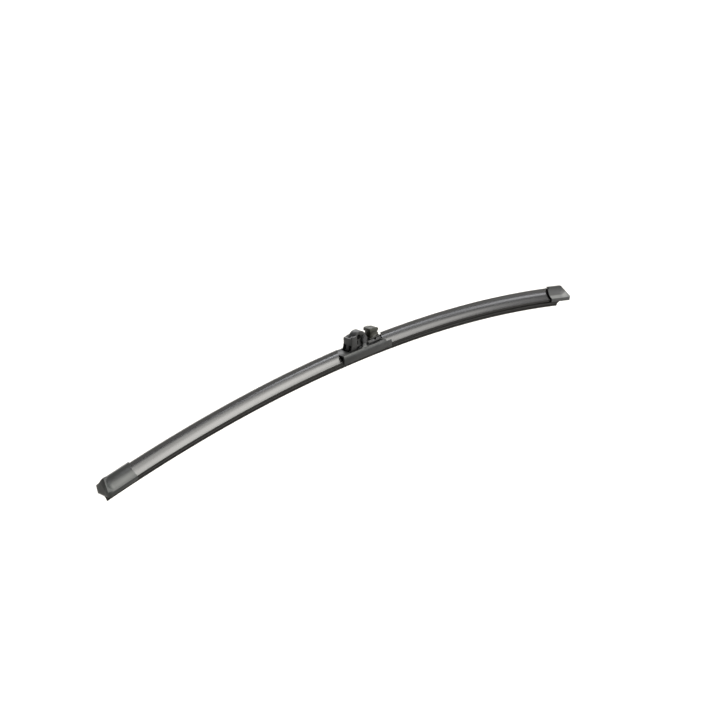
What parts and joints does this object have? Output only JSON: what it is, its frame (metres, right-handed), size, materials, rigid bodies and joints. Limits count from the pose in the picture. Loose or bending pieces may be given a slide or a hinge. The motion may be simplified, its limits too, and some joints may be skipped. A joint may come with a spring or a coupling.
{
  "type": "wiper blade",
  "caption": "Curved flat windscreen wiper blade with a hollow-faced spoiler, end caps, and a rocking adapter with a cross bore and a release button.",
  "frame": {"origin": "centre of the adapter's cross bore for the arm's side pin", "axes": "+X along the blade towards the longer nosed end cap, +Z away from the glass, +Y across the blade away from the spoiler's front edge; the cross bore runs along Y"},
  "size_m": [0.6025, 0.017, 0.0594],
  "materials": {
    "wiper_rubber": "matt black",
    "spring_rail": "cold rolled",
    "spoiler": "satin charcoal",
    "end_cap": "satin charcoal",
    "rail_bracket": "bright pressed sheet",
    "connector_base": "fine moulded",
    "pivot_pin": "plated",
    "adapter_body": "fine moulded",
    "release_button": "fine moulded, olive grey",
    "button_spring": "spring wire"
  },
  "bodies": {
    "adapter": {"adapter_body": "adapter_body", "button_spring": "button_spring"},
    "button": {"release_button": "release_button"},
    "blade": {"wiper_rubber": "wiper_rubber", "spring_rail_front": "spring_rail", "spring_rail_rear": "spring_rail", "spoiler_left": "spoiler", "spoiler_right": "spoiler", "end_cap_left": "end_cap", "end_cap_right": "end_cap", "rail_bracket": "rail_bracket", "connector_base": "connector_base", "pivot_pin": "pivot_pin"}
  },
  "joints": [
    {"name": "blade_pivot", "type": "hinge", "parent": "adapter", "child": "blade", "pos_m": [0.0058, 0, -0.0028], "axis": [0, 1, 0], "range_deg": [-8, 8]},
    {"name": "button_press", "type": "slide", "parent": "adapter", "child": "button", "axis": [0, 0, -1], "range_m": [0, 0.0011], "stiffness_N_per_m": 800, "springref_m": -0.0015, "deforming": ["button_spring"]}
  ]
}
